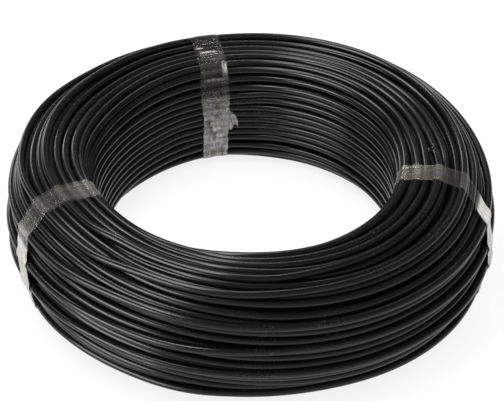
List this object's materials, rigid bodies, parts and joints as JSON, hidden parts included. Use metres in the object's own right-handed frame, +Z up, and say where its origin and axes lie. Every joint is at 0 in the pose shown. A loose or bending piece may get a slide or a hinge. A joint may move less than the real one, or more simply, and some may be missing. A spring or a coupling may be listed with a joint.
{
  "type": "coil of electrical wire",
  "caption": "Flat-lying ring coil of single-core insulated building wire, wound round an open bore and tied with clear film bands.",
  "frame": {"origin": "centre of the coil's footprint, on the floor", "axes": "+Z up along the coil's axis; +X to the right and -Y towards a person who looks at the coil with the back band at the far side"},
  "size_m": [0.216, 0.216, 0.059],
  "materials": {
    "wire_insulation": "satin black PVC",
    "clear_film": "clear crumpled packing film"
  },
  "bodies": {
    "root": {"wire_coil": "wire_insulation", "film_band_back": "clear_film", "film_band_left": "clear_film", "film_band_right": "clear_film"}
  },
  "joints": []
}
